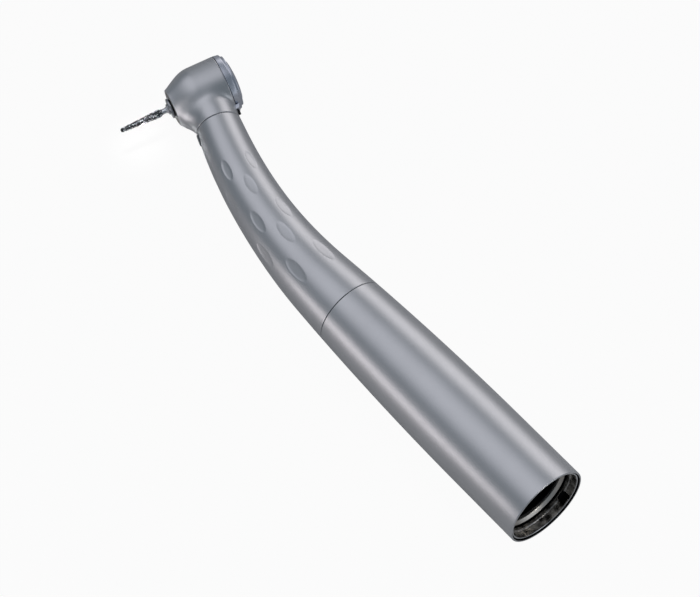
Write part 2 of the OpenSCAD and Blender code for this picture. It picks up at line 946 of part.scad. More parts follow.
module chuck_collet() {
    color("#85888d")
        at_head()
            translate([0, 0, collet_base])
                difference() {
                    ring(spindle_bore_dia - 2 * seat_gap, shank_dia + 2 * seat_gap, collet_length, round_facets);
                    for (i = [0:collet_slots - 1])
                        rotate([0, 0, 360 * i / collet_slots])
                            translate([0, -collet_slot / 2, collet_length / 3])
                                cube([spindle_dia, collet_slot, collet_length]);
                }
}

module chuck_plunger() {
    foot = plunger_base + plunger_foot;
    color("#85888d")
        at_head()
            rotate_extrude($fn = round_facets)
                polygon([[0, plunger_base],
                    [plunger_dia / 2, plunger_base],
                    [plunger_dia / 2, foot],
                    [plunger_stem_dia / 2, foot],
                    [plunger_stem_dia / 2, spindle_top + button_travel],
                    [0, spindle_top + button_travel]]);
}

module chuck_spring() {
    seat = collet_base + collet_length + seat_gap;
    color("#c8cace")
        at_head()
            translate([0, 0, seat])
                coil(chuck_spring_dia, chuck_wire, plunger_base - seat_gap - seat, spring_turns);
}

diamond_end = -bur_reach + diamond_length;
shank_end = -nose_reach - flange_gap - flange_thickness - boss_length;

module bur_shank() {
    shoulder_length = shank_dia - bur_neck_dia;
    color("#d5d7da")
        at_head()
            rotate_extrude($fn = round_facets)
                polygon([[0, shank_top],
                    [shank_dia / 2, shank_top],
                    [shank_dia / 2, shank_end + boss_length / 2],
                    [bur_neck_dia / 2, shank_end + boss_length / 2 - shoulder_length],
                    [bur_neck_dia / 2, diamond_end],
                    [0, diamond_end]]);
}

module bur_diamond() {
    tip = diamond_tip_dia / 2;
    steps = 4;
    nose = [for (i = [0:steps])
        let (turn = 90 * i / steps)
            [tip * sin(turn), -bur_reach + tip - tip * cos(turn)]];
    color("#3c3d40")
        at_head()
            rotate_extrude($fn = round_facets)
                polygon(concat(nose,
                    [[diamond_dia / 2, diamond_end - diamond_dia / 2],
                     [bur_neck_dia / 2, diamond_end],
                     [0, diamond_end]]));
}

rear_sleeve();
front_sleeve();
joint_ring();
socket_body();
entry_liner();
detent_ring();
tube_plate();
drive_air_tube();
water_tube();
chip_air_tube();
light_guide();
light_window();
head_housing();
spray_ring();
head_cap();
cap_lock();
push_button();
button_spring();
preload_ring();
front_o_ring();
rear_o_ring();
front_outer_ring();
rear_outer_ring();
front_inner_ring();
rear_inner_ring();
front_cage();
rear_cage();
front_balls();
rear_balls();
spindle();
impeller();
chuck_collet();
chuck_plunger();
chuck_spring();
bur_shank();
bur_diamond();
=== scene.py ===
import json
import math
import bmesh
import bpy
import numpy as np
from mathutils import Matrix, Vector


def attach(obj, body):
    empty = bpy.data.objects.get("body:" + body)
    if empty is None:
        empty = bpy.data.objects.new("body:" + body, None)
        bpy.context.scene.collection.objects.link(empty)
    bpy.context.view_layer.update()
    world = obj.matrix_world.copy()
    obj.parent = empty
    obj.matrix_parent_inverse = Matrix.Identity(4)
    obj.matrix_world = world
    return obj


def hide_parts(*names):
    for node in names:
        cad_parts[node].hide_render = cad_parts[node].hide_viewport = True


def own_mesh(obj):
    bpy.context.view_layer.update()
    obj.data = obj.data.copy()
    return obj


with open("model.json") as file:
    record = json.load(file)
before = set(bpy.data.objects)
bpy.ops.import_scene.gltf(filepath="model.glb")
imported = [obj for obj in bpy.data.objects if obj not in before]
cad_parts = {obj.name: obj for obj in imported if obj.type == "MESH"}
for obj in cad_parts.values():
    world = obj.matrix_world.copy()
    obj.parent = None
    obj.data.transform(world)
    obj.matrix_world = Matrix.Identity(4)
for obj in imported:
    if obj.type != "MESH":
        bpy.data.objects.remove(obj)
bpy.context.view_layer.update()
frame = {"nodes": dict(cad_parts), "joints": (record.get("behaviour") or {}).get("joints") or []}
nodes = frame["nodes"]
joints = {joint["name"]: joint for joint in frame["joints"]}
mm = 0.001

# Lengths in the dictionaries are millimetres; a mesh is built in them and placed in metres
route = {   # centreline of the two sleeves, from the socket's mouth to the head
    "bendStart": 55.8, "bendRadius": 107.8, "bendAngle": 20.0,
    "midSeam": 48.28, "neckSeam": 96.13, "neckReach": 8.15, "neckTilt": 5.0, "neckRadius": 4.27,
}
bendTurn = math.radians(route["bendAngle"])
bendEnd = route["bendStart"] + route["bendRadius"] * bendTurn


def linear(hexColour):   # sRGB hex to the linear values that shaders take
    parts = [int(hexColour[i:i + 2], 16) / 255 for i in (1, 3, 5)]
    return [p / 12.92 if p <= 0.04045 else ((p + 0.055) / 1.055) ** 2.4 for p in parts] + [1.0]


def addNode(tree, kind, settings=None, inputs=None):   # adds, sets and links a node, gives its first output
    node = tree.nodes.new(kind)
    for key, value in (settings or {}).items():
        setattr(node, key, value)
    for key, value in (inputs or {}).items():
        if isinstance(value, bpy.types.NodeSocket):
            tree.links.new(value, node.inputs[key])
        else:
            node.inputs[key].default_value = value
    return node.outputs[0] if node.outputs else None


def mathNode(tree, operation, *operands, clamp=False):
    settings = {"operation": operation, "use_clamp": clamp}
    return addNode(tree, "ShaderNodeMath", settings, dict(enumerate(operands)))


def vectorNode(tree, operation, *operands, scale=None):
    inputs = dict(enumerate(operands))
    if scale is not None:
        inputs["Scale"] = scale
    vector = addNode(tree, "ShaderNodeVectorMath", {"operation": operation}, inputs)
    return vector.node.outputs["Value"] if operation in ("LENGTH", "DOT_PRODUCT", "DISTANCE") else vector


def addThing(name, data):   # a new object in the scene
    thing = bpy.data.objects.new(name, data)
    bpy.context.scene.collection.objects.link(thing)
    return thing


def sleeveFrame(station):   # local Z heads for the head, X is up, Y is the cap's side
    turn = min(max((station - route["bendStart"]) / route["bendRadius"], 0), bendTurn)
    straight = max(station - bendEnd, 0)
    bend = route["bendRadius"]
    x = -min(station, route["bendStart"]) - bend * math.sin(turn) - straight * math.cos(bendTurn)
    y = bend * (1 - math.cos(turn)) + straight * math.sin(bendTurn)
    place = Matrix(((0, math.sin(turn), -math.cos(turn), x), (0, math.cos(turn), math.sin(turn), y),
                    (1, 0, 0, 0), (0, 0, 0, 1)))
    return Matrix.Scale(mm, 4) @ place


def headFrame():   # local Z is the cap's side of the rotor's axis, -Y is the neck's side
    centre, axis = Vector(joints["rotor_spin"]["pos_m"]), Vector(joints["rotor_spin"]["axis"])
    side = Vector((-axis.y, axis.x, 0))
    cross = side.cross(axis)
    place = Matrix((cross, side, axis)).transposed().to_4x4()
    place.translation = centre / mm
    return Matrix.Scale(mm, 4) @ place


# Camera, fitted to the photograph's seams, rings and outlines
camera = {
    "place": (165.567, -119.028, 440.928), "right": (0.641603, 0.759603, -0.106533),
    "up": (-0.636884, 0.604972, 0.477899), "back": (0.427463, -0.238772, 0.871931),
    "focalPixels": 2838.46, "imageWidth": 700, "sensor": 36.0, "clipStart": 10.0,
}
cameraData = bpy.data.cameras.new("camera")
cameraData.sensor_width = camera["sensor"]
cameraData.lens = camera["focalPixels"] * camera["sensor"] / camera["imageWidth"]
cameraData.clip_start = camera["clipStart"] * mm
cameraObject = addThing("camera", cameraData)
turned = Matrix((camera["right"], camera["up"], camera["back"])).transposed().to_4x4()
turned.translation = Vector(camera["place"]) * mm
cameraObject.matrix_world = turned
bpy.context.scene.camera = cameraObject
bpy.context.scene.view_settings.view_transform = "Standard"
print("camera set")


# Mesh helpers
sharpTurn = 32   # degrees from which an edge shows as sharp
mergeDistance = 0.0005   # points closer than this become one
mostCut = 0.49   # the most that a rounding takes of a profile's side


def makeObject(name, verts, faces, place):   # a smooth mesh with sharp edges where faces turn
    mesh = bpy.data.meshes.new(name)
    mesh.from_pydata([tuple(v) for v in verts], [], [tuple(f) for f in faces])
    work = bmesh.new()
    work.from_mesh(mesh)
    bmesh.ops.remove_doubles(work, verts=work.verts, dist=mergeDistance)
    bmesh.ops.delete(work, geom=[edge for edge in work.edges if not edge.link_faces], context="EDGES")
    bmesh.ops.recalc_face_normals(work, faces=work.faces)
    work.to_mesh(mesh)
    work.free()
    mesh.transform(place)
    mesh.shade_smooth()
    mesh.set_sharp_from_angle(angle=math.radians(sharpTurn))
    return addThing(name, mesh)


def rounded(corners, steps=6):   # corners are (radius, height, rounding); an arc replaces a rounded corner
    points = []
    for i, (r, z, rounding) in enumerate(corners):
        here = Vector((r, z))
        if rounding <= 0:
            points.append((r, z))
            continue
        before, after = (Vector(corners[(i + k) % len(corners)][:2]) - here for k in (-1, 1))
        half = before.angle(after) / 2
        cut = min(rounding / math.tan(half), before.length * mostCut, after.length * mostCut)
        start, end = here + before.normalized() * cut, here + after.normalized() * cut
        for k in range(steps + 1):
            t = k / steps
            point = start * (1 - t) ** 2 + here * 2 * t * (1 - t) + end * t ** 2
            points.append((point.x, point.y))
    return points


def ringFaces(count, around, closed=True):   # quads between rings of points, which follow one another
    return [(i * around + j, i * around + (j + 1) % around,
             (i + 1) % count * around + (j + 1) % around, (i + 1) % count * around + j)
            for i in range(count if closed else count - 1) for j in range(around)]


def lathe(name, profile, place, segments=160, closed=True):   # turns a profile of (radius, height) points
    turns = np.arange(segments) * 2 * math.pi / segments
    rings = np.array(profile, float)
    verts = np.stack([rings[:, :1] * np.cos(turns), rings[:, :1] * np.sin(turns),
                      np.repeat(rings[:, 1:], segments, 1)], axis=2).reshape(-1, 3)
    return makeObject(name, verts, ringFaces(len(rings), segments, closed), place)


def carve(thing, *cutters, sharp=30):   # cuts closed shapes out of a piece
    for cutter in cutters:
        cut = thing.modifiers.new("cut", "BOOLEAN")
        cut.operation, cut.object, cut.solver = "DIFFERENCE", cutter, "MANIFOLD"
        mesh = bpy.data.meshes.new_from_object(thing.evaluated_get(bpy.context.evaluated_depsgraph_get()))
        thing.modifiers.clear()
        thing.data = mesh
        bpy.data.objects.remove(cutter)
    thing.data.set_sharp_from_angle(angle=math.radians(sharp))
    return thing


def addFinish(thing, material, isPicked):   # gives the faces that a test picks a second finish
    thing.data.materials.append(material)
    for face in thing.data.polygons:
        face.material_index = int(isPicked(face))


def finishPiece(thing, material, body, slot, *replaced):   # gives a piece its material and its body
    thing.data.materials.clear()
    thing.data.materials.append(material)
    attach(thing, body)
    if replaced:
        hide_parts(*replaced)
    return thing


def bake(thing, tree, values):   # runs a Geometry Nodes tree on the piece and keeps the plain mesh
    modifier = thing.modifiers.new("shape", "NODES")
    modifier.node_group = tree
    for item in tree.interface.items_tree:
        if item.in_out == "INPUT" and item.name in values:
            modifier[item.identifier] = values[item.name]
    graph = bpy.context.evaluated_depsgraph_get()
    mesh = bpy.data.meshes.new_from_object(thing.evaluated_get(graph))
    thing.modifiers.clear()
    thing.data = mesh
    return thing


def newTree(name, inputs):   # a Geometry Nodes tree with named inputs, numbers or materials
    tree = bpy.data.node_groups.new(name, "GeometryNodeTree")
    tree.interface.new_socket(name="Geometry", in_out="INPUT", socket_type="NodeSocketGeometry")
    for label, value in inputs.items():
        kind = "NodeSocketMaterial" if isinstance(value, bpy.types.Material) else "NodeSocketFloat"
        tree.interface.new_socket(name=label, in_out="INPUT", socket_type=kind).default_value = value
    tree.interface.new_socket(name="Geometry", in_out="OUTPUT", socket_type="NodeSocketGeometry")
    return tree, addNode(tree, "NodeGroupInput").node.outputs


# Materials
bumpDepth = 0.02   # height of the grain at full strength


def newMaterial(name):   # an empty material, its tree, and the place on the piece
    material = bpy.data.materials.new(name)
    material.use_nodes = True
    tree = material.node_tree
    tree.nodes.clear()
    return material, tree, addNode(tree, "ShaderNodeTexCoord").node.outputs["Object"]


def noiseNode(tree, where, size, detail):   # noise with lumps of a size in millimetres
    inputs = {"Vector": where, "Scale": 1 / (size * mm), "Detail": detail}
    return addNode(tree, "ShaderNodeTexNoise", {}, inputs)


def blendHexes(tree, share, look):   # the look's dark and light hexes mixed by a share
    mix = addNode(tree, "ShaderNodeMix", {"data_type": "RGBA"},
                  {"Factor": share, "A": linear(look["dark"]), "B": linear(look["light"])})
    return mix.node.outputs["Result"]


def bumpNode(tree, height, look):
    inputs = {"Height": height, "Strength": look["bump"], "Distance": bumpDepth * mm}
    return addNode(tree, "ShaderNodeBump", {}, inputs)


def closeMaterial(material, tree, inputs):   # the shader and the output
    shader = addNode(tree, "ShaderNodeBsdfPrincipled", {}, inputs)
    addNode(tree, "ShaderNodeOutputMaterial", {}, {"Surface": shader})
    return material


def metalMaterial(name, look):
    # two hexes mixed by slow cloudiness, roughness that wanders, and a fine grain as bump
    material, tree, where = newMaterial(name)
    cloud = noiseNode(tree, where, look["cloud"], 3.0)
    low, high = look.get("spread", (0.0, 1.0))
    patches = addNode(tree, "ShaderNodeMapRange", {}, {"Value": cloud, "From Min": low, "From Max": high})
    grain = noiseNode(tree, where, look["grain"], 2.0)
    rough = addNode(tree, "ShaderNodeMapRange", {},
                    {"Value": grain, "To Min": look["rough"][0], "To Max": look["rough"][1]})
    return closeMaterial(material, tree, {
        "Base Color": blendHexes(tree, patches, look), "Roughness": rough,
        "Metallic": look.get("metal", 1.0), "Normal": bumpNode(tree, grain, look)})


satinSteel = metalMaterial("satinBlastedSteel", {   # blasted; the grain is coarser than real, to show
    "dark": "#c9cacc", "light": "#d4d5d7", "cloud": 9.0, "grain": 0.24, "rough": (0.3, 0.46), "bump": 0.36})
polishedSteel = metalMaterial("polishedSteel", {   # buffed cap and button, colder and sharper
    "dark": "#cbd0db", "light": "#d9dce4", "cloud": 5.0, "grain": 0.25, "rough": (0.24, 0.34), "bump": 0.06})
turnedSteel = metalMaterial("turnedSteel", {   # turned plate, joint and nose ring
    "dark": "#7d7872", "light": "#a39d95", "cloud": 2.0, "grain": 0.12, "rough": (0.22, 0.42), "bump": 0.15})
linerSteel = metalMaterial("mottledLiner", {   # liner mottled at random in near-black and pale patches
    "dark": "#2e2c2a", "light": "#d6d0c8", "cloud": 1.4, "spread": (0.38, 0.62), "grain": 0.2,
    "rough": (0.26, 0.38), "bump": 0.05, "metal": 0.85})
ringSteel = metalMaterial("burnishedRing", {   # ring rubbed bright by the coupling's stem
    "dark": "#b7b3ad", "light": "#d2cec8", "cloud": 1.8, "grain": 0.12, "rough": (0.3, 0.4), "bump": 0.02})
brightSteel = metalMaterial("groundSteel", {   # ground bearing rings, shank, tubes and springs
    "dark": "#c2c3c6", "light": "#dcdde0", "cloud": 1.5, "grain": 0.1, "rough": (0.08, 0.17), "bump": 0.03})
spindleSteel = metalMaterial("turnedSpindleSteel", {   # spindle, collet and plunger
    "dark": "#8b8d91", "light": "#c4c6ca", "cloud": 0.8, "grain": 0.1, "rough": (0.1, 0.2), "bump": 0.04})
boreAndShadeBlack = metalMaterial("blackBoreAndPaintedShade", {   # dark bore of the socket, and painted shade on the rear sleeve's inner wall
    "dark": "#141415", "light": "#222224", "cloud": 3.0, "grain": 0.15, "rough": (0.35, 0.5), "bump": 0.1})
screwBlack = metalMaterial("blackenedSteel", {   # screw behind the cap
    "dark": "#151516", "light": "#2c2d30", "cloud": 0.6, "grain": 0.1, "rough": (0.3, 0.45), "bump": 0.1})
goldAlloy = metalMaterial("anodisedAlloy", {   # gold-tinted impeller
    "dark": "#a98a4c", "light": "#c9aa66", "cloud": 1.2, "grain": 0.1, "rough": (0.2, 0.32), "bump": 0.06})
nickelBond = metalMaterial("nickelBond", {   # the nickel that holds the diamond grit
    "dark": "#17181a", "light": "#37393d", "cloud": 0.3, "grain": 0.07, "rough": (0.25, 0.5), "bump": 0.5})


def plainMaterial(name, look):   # a non-metal with mottled colour and a slight grain
    material, tree, where = newMaterial(name)
    cloud = noiseNode(tree, where, look["grain"], 4.0)
    return closeMaterial(material, tree, {
        "Base Color": blendHexes(tree, cloud, look), "Roughness": look["rough"],
        "Normal": bumpNode(tree, cloud, look), "IOR": look["ior"],
        "Transmission Weight": look.get("clear", 0.0)})


sealRubber = plainMaterial("sealRubber", {   # matt black rings
    "dark": "#101011", "light": "#1d1d1f", "grain": 0.2, "rough": 0.6, "bump": 0.2, "ior": 1.52})
cagePhenolic = plainMaterial("phenolicCage", {   # brown laminate
    "dark": "#6a3f1e", "light": "#8c5a30", "grain": 0.15, "rough": 0.5, "bump": 0.2, "ior": 1.6})
ballCeramic = plainMaterial("whiteCeramic", {   # polished balls
    "dark": "#e2e1dc", "light": "#f0efeb", "grain": 0.3, "rough": 0.12, "bump": 0.02, "ior": 2.0})
lightGlass = plainMaterial("lightGuideGlass", {   # clear rod
    "dark": "#e6ecef", "light": "#f4f8fa", "grain": 0.5, "rough": 0.08, "bump": 0.02, "ior": 1.52,
    "clear": 0.9})
windowGlass = plainMaterial("darkWindowGlass", {   # polished end of the guide, grey against the steel
    "dark": "#585c61", "light": "#6b7075", "grain": 0.4, "rough": 0.14, "bump": 0.03, "ior": 1.52})
diamondCrystal = plainMaterial("diamondCrystal", {   # grains that catch the light
    "dark": "#e3e6ec", "light": "#ffffff", "grain": 0.2, "rough": 0.08, "bump": 0.0, "ior": 2.42})
print("materials made")


# Rear sleeve
rear = {
    "radius": 8.0, "midRadius": 6.96, "taperStart": 11.6, "taperSteps": 40,
    "mouthDepth": 3.45, "rimWall": 0.35, "rimRound": 0.3, "liningRadius": 6.36, "liningEnd": 22.0,
    "collarRadius": 5.98, "collarStart": 43.78, "collarSlope": 0.6, "seamGap": 0.07, "seamEdge": 0.03,
    "inward": 0.5,   # faces that look in at the axis by more than this are painted black, as painted shade inside the sleeve
}


def makeRearShell():
    length, end = route["midSeam"] - rear["taperStart"], route["midSeam"] - rear["seamGap"]
    shares = np.arange(rear["taperSteps"]) / rear["taperSteps"]
    drop = rear["radius"] - rear["midRadius"]
    taper = [(rear["radius"] - drop * share ** 2, rear["taperStart"] + length * share) for share in shares]
    inner = rear["radius"] - rear["rimWall"]
    rim = rounded([(inner, 0, 0), (inner, -rear["mouthDepth"], 0.08),
                   (rear["radius"], -rear["mouthDepth"], rear["rimRound"]), (rear["radius"], 0, 0)])
    seam = [(rear["midRadius"], end - rear["seamEdge"]), (rear["midRadius"] - rear["seamEdge"], end)]
    lining = [(rear["collarRadius"], end), (rear["collarRadius"], rear["collarStart"]),
              (rear["liningRadius"], rear["collarStart"] - rear["collarSlope"]), (inner, rear["liningEnd"])]
    return lathe("rearShell", rim + taper + seam + lining, sleeveFrame(0), segments=192)


rearShell = finishPiece(makeRearShell(), satinSteel, "shell", "satin_steel", "rear_sleeve")
# the sleeve's inside faces are painted black: painted shade in the mouth and down the sleeve
addFinish(rearShell, boreAndShadeBlack,
          lambda face: face.normal.yz.dot(face.center.yz) < -rear["inward"] * face.center.yz.length)
print("rear sleeve made")


# Grip sleeve with its dimples
grip = {
    "waist": 0.093, "wall": 0.75, "around": 300, "along": 305, "lining": 12,
    "dimpleRows": 12, "pitch": 12.6, "firstDimple": 58.95, "rowShift": 0.58,
    "dimpleLength": 0.48, "dimpleWidth": 0.165,   # half sizes as shares of the sleeve's radius
    "dimpleDepth": 0.09, "dimpleStep": 0.055, "dimplePoint": 1.1,   # bowl, steep edge, pointed ends
    "dimpleSteepness": 3.0, "leastLens": 0.001,   # the least keeps the division from zero
    "windowBack": 1.4, "windowHole": 1.24,
}


def gripRadius(station):   # a straight taper with a slight waist
    along = (station - route["midSeam"]) / (route["neckSeam"] - route["midSeam"])
    drop = rear["midRadius"] - route["neckRadius"]
    return rear["midRadius"] - drop * (along + grip["waist"] * math.sin(math.pi * along) ** 2)


def dimpleTree(inputs):
    # each point finds its row and the dimple's centre on it, and sinks inside that lens
    tree, given = newTree("dimples", inputs)
    station, turn, radius, outer = (
        addNode(tree, "GeometryNodeInputNamedAttribute", {"data_type": "FLOAT"}, {"Name": label})
        for label in ("station", "turn", "radius", "outside"))
    rowPlace = mathNode(tree, "MULTIPLY", turn, given["Rows"])
    row = mathNode(tree, "ROUND", rowPlace)
    offRow = mathNode(tree, "SUBTRACT", rowPlace, row)
    arcShare = mathNode(tree, "DIVIDE", offRow, given["Rows"])
    arc = mathNode(tree, "MULTIPLY", arcShare, radius)
    side = mathNode(tree, "MULTIPLY", arc, 2 * math.pi)
    longRow = mathNode(tree, "FLOORED_MODULO", row, 2.0)
    shortRow = mathNode(tree, "SUBTRACT", 1.0, longRow)
    shift = mathNode(tree, "MULTIPLY", shortRow, given["Shift"])
    fromFirst = mathNode(tree, "SUBTRACT", station, given["First"])
    inPitches = mathNode(tree, "DIVIDE", fromFirst, given["Pitch"])
    index = mathNode(tree, "SUBTRACT", inPitches, shift)
    nearest = mathNode(tree, "ROUND", index)
    last = mathNode(tree, "ADD", longRow, 1.0)
    lowest = mathNode(tree, "MAXIMUM", nearest, 0.0)
    chosen = mathNode(tree, "MINIMUM", lowest, last)
    offCentre = mathNode(tree, "SUBTRACT", index, chosen)
    along = mathNode(tree, "MULTIPLY", offCentre, given["Pitch"])
    halfLength = mathNode(tree, "MULTIPLY", radius, given["Length"])
    halfWidth = mathNode(tree, "MULTIPLY", radius, given["Width"])
    alongShare = mathNode(tree, "DIVIDE", along, halfLength)
    alongSquare = mathNode(tree, "MULTIPLY", alongShare, alongShare)
    taper = mathNode(tree, "SUBTRACT", 1.0, alongSquare)
    lens = mathNode(tree, "MAXIMUM", taper, grip["leastLens"])
    sideShare = mathNode(tree, "DIVIDE", side, halfWidth)
    sideSquare = mathNode(tree, "MULTIPLY", sideShare, sideShare)
    outline = mathNode(tree, "POWER", lens, given["Point"])
    across = mathNode(tree, "DIVIDE", sideSquare, outline)
    within = mathNode(tree, "SUBTRACT", 1.0, across, clamp=True)
    bowl = mathNode(tree, "MULTIPLY", within, lens, clamp=True)
    rim = mathNode(tree, "SUBTRACT", 1.0, bowl)
    steep = mathNode(tree, "POWER", rim, given["Steepness"])
    level = mathNode(tree, "SUBTRACT", 1.0, steep)
    stepped = mathNode(tree, "MULTIPLY", level, given["Step"])
    fall = mathNode(tree, "MULTIPLY_ADD", bowl, given["Depth"], stepped)
    metres = mathNode(tree, "MULTIPLY", fall, -mm)
    masked = mathNode(tree, "MULTIPLY", metres, outer)
    normal = addNode(tree, "GeometryNodeInputNormal")
    offset = vectorNode(tree, "SCALE", normal, scale=masked)
    moved = addNode(tree, "GeometryNodeSetPosition", {}, {"Geometry": given["Geometry"], "Offset": offset})
    real = addNode(tree, "GeometryNodeRealizeInstances", {}, {"Geometry": moved})
    dressed = addNode(tree, "GeometryNodeSetMaterial", {}, {"Geometry": real, "Material": given["Material"]})
    addNode(tree, "NodeGroupOutput", {}, {"Geometry": dressed})
    return tree


def windowCutter():   # round hole for the end of the light guide, on the bur's side
    place = sleeveFrame(route["neckSeam"] - grip["windowBack"]) @ Matrix.Rotation(math.pi / 2, 4, "X")
    bore = [(0, 0), (grip["windowHole"], 0), (grip["windowHole"], rear["radius"]), (0, rear["radius"])]
    return lathe("windowCutter", bore, place, 64, False)


def makeGripShell():
    edge, gap = rear["seamEdge"], rear["seamGap"]
    start, end = route["midSeam"] + gap, route["neckSeam"] - gap
    outside = np.linspace(start + edge, end - edge, grip["along"])
    rings = [(start, gripRadius(start) - edge, 0)] + [(s, gripRadius(s), 1) for s in outside]
    rings += [(end, gripRadius(end) - edge, 0)]
    rings += [(s, gripRadius(s) - grip["wall"], 0) for s in np.linspace(end, start, grip["lining"])]
    around, verts, marks = grip["around"], [], []
    for station, radius, isOutside in rings:
        place = sleeveFrame(station)
        for k in range(around):
            turn = 2 * math.pi * k / around
            verts.append(place @ Vector((radius * math.cos(turn), radius * math.sin(turn), 0)) / mm)
            marks.append((station, k / around, radius, isOutside))
    thing = makeObject("gripShell", verts, ringFaces(len(rings), around), Matrix.Scale(mm, 4))
    for column, label in enumerate(("station", "turn", "radius", "outside")):
        layer = thing.data.attributes.new(label, "FLOAT", "POINT")
        layer.data.foreach_set("value", np.array(marks, np.float32)[:, column])
    inputs = {
        "Rows": float(grip["dimpleRows"]), "Pitch": grip["pitch"], "First": grip["firstDimple"],
        "Shift": grip["rowShift"], "Length": grip["dimpleLength"], "Width": grip["dimpleWidth"],
        "Depth": grip["dimpleDepth"], "Step": grip["dimpleStep"], "Point": grip["dimplePoint"],
        "Steepness": grip["dimpleSteepness"], "Material": satinSteel,
    }
    bake(thing, dimpleTree(inputs), inputs)
    return carve(thing, windowCutter(), sharp=50)


finishPiece(makeGripShell(), satinSteel, "shell", "satin_steel", "front_sleeve")
print("grip made")


# Head: barrel and neck blended as one distance field
head = {
    "radius": 5.6, "noseRadius": 3.5, "noseReach": 6.75, "noseHeight": 5.38, "nosePower": 1.15,
    "capSeam": 3.94, "blend": 1.3, "neckStart": 3.0, "edge": 0.1, "seamGap": 0.05,
    "chinFrom": (0, -2.84, -3.39), "chinTo": (0, -4.95, -1.34), "chinRadii": (3.49, 3.97), "chinBlend": 1.6,
    "opening": 1.75, "bearingSeat": 3.195, "seatBase": -5.94, "chamberRadius": 4.85, "chamberFloor": -3.29,
    "sealDepth": 0.6, "sealHalf": 0.31, "sealMiddle": -4.73, "passage": 2.95, "passageStart": 5.35,
    "sprayInner": 2.22, "sprayOuter": 3.22, "sprayDepth": 0.3, "overrun": 1.0,
    "spigotRadius": 3.45, "spigotLength": 5.0, "spigotRoot": 0.25,
    "voxel": 0.085, "boxLow": (-6.0, -8.6, -7.1), "boxHigh": (6.0, 6.0, 4.3),
}


def headTree(inputs):
    tree, given = newTree("headBody", inputs)
    point = addNode(tree, "GeometryNodeInputPosition")
    parts = addNode(tree, "ShaderNodeSeparateXYZ", {}, {0: point}).node.outputs
    flat = addNode(tree, "ShaderNodeCombineXYZ", {}, {"X": parts["X"], "Y": parts["Y"]})
    radial = vectorNode(tree, "LENGTH", flat)
    height = mathNode(tree, "ADD", parts["Z"], given["Nose reach"])
    share = mathNode(tree, "DIVIDE", height, given["Nose height"], clamp=True)
    quarter = mathNode(tree, "MULTIPLY", share, math.pi / 2)
    rise = mathNode(tree, "SINE", quarter)
    curve = mathNode(tree, "POWER", rise, given["Nose power"])
    fall = mathNode(tree, "SUBTRACT", given["Radius"], given["Nose radius"])
    outline = mathNode(tree, "MULTIPLY_ADD", curve, fall, given["Nose radius"])
    barrel = mathNode(tree, "SUBTRACT", radial, outline)
    tilt = math.radians(route["neckTilt"])
    heading = (0, -math.cos(tilt), -math.sin(tilt))   # from the head's centre down the neck
    reach = vectorNode(tree, "DOT_PRODUCT", point, heading)
    along = mathNode(tree, "MAXIMUM", reach, given["Neck start"])
    foot = vectorNode(tree, "SCALE", heading, scale=along)
    away = vectorNode(tree, "SUBTRACT", point, foot)
    distance = vectorNode(tree, "LENGTH", away)
    neck = mathNode(tree, "SUBTRACT", distance, given["Neck radius"])
    start, course = Vector(head["chinFrom"]), Vector(head["chinTo"]) - Vector(head["chinFrom"])
    narrow, wide = head["chinRadii"]
    offset = vectorNode(tree, "SUBTRACT", point, start)
    onCourse = vectorNode(tree, "DOT_PRODUCT", offset, course)
    passed = mathNode(tree, "DIVIDE", onCourse, course.length_squared, clamp=True)
    nearest = vectorNode(tree, "SCALE", course, scale=passed)
    fromChin = vectorNode(tree, "DISTANCE", offset, nearest)
    chinRadius = mathNode(tree, "MULTIPLY_ADD", passed, wide - narrow, narrow)
    chin = mathNode(tree, "SUBTRACT", fromChin, chinRadius)
    stem = mathNode(tree, "SMOOTH_MIN", neck, chin, given["Chin blend"])
    body = mathNode(tree, "SMOOTH_MIN", barrel, stem, given["Blend"])
    aboveSeam = mathNode(tree, "SUBTRACT", parts["Z"], given["Cap seam"])
    topped = mathNode(tree, "SMOOTH_MAX", body, aboveSeam, given["Edge"])
    belowNose = mathNode(tree, "MULTIPLY", height, -1.0)
    nosed = mathNode(tree, "SMOOTH_MAX", topped, belowNose, given["Edge"])
    pastNeck = mathNode(tree, "SUBTRACT", reach, given["Neck reach"])
    ended = mathNode(tree, "SMOOTH_MAX", nosed, pastNeck, given["Edge"])
    density = mathNode(tree, "MULTIPLY", ended, -1.0)
    counts = [round((high - low) / head["voxel"]) for low, high in zip(head["boxLow"], head["boxHigh"])]
    cube = addNode(tree, "GeometryNodeVolumeCube", {}, {
        "Density": density, "Background": -1.0, "Min": head["boxLow"], "Max": head["boxHigh"],
        "Resolution X": counts[0], "Resolution Y": counts[1], "Resolution Z": counts[2]})
    meshing = {"Volume": cube, "Threshold": 0.0, "Adaptivity": 0.0}
    skin = addNode(tree, "GeometryNodeVolumeToMesh", {}, meshing)
    real = addNode(tree, "GeometryNodeRealizeInstances", {}, {"Geometry": skin})
    dressed = addNode(tree, "GeometryNodeSetMaterial", {}, {"Geometry": real, "Material": given["Material"]})
    addNode(tree, "NodeGroupOutput", {}, {"Geometry": dressed})
    return tree


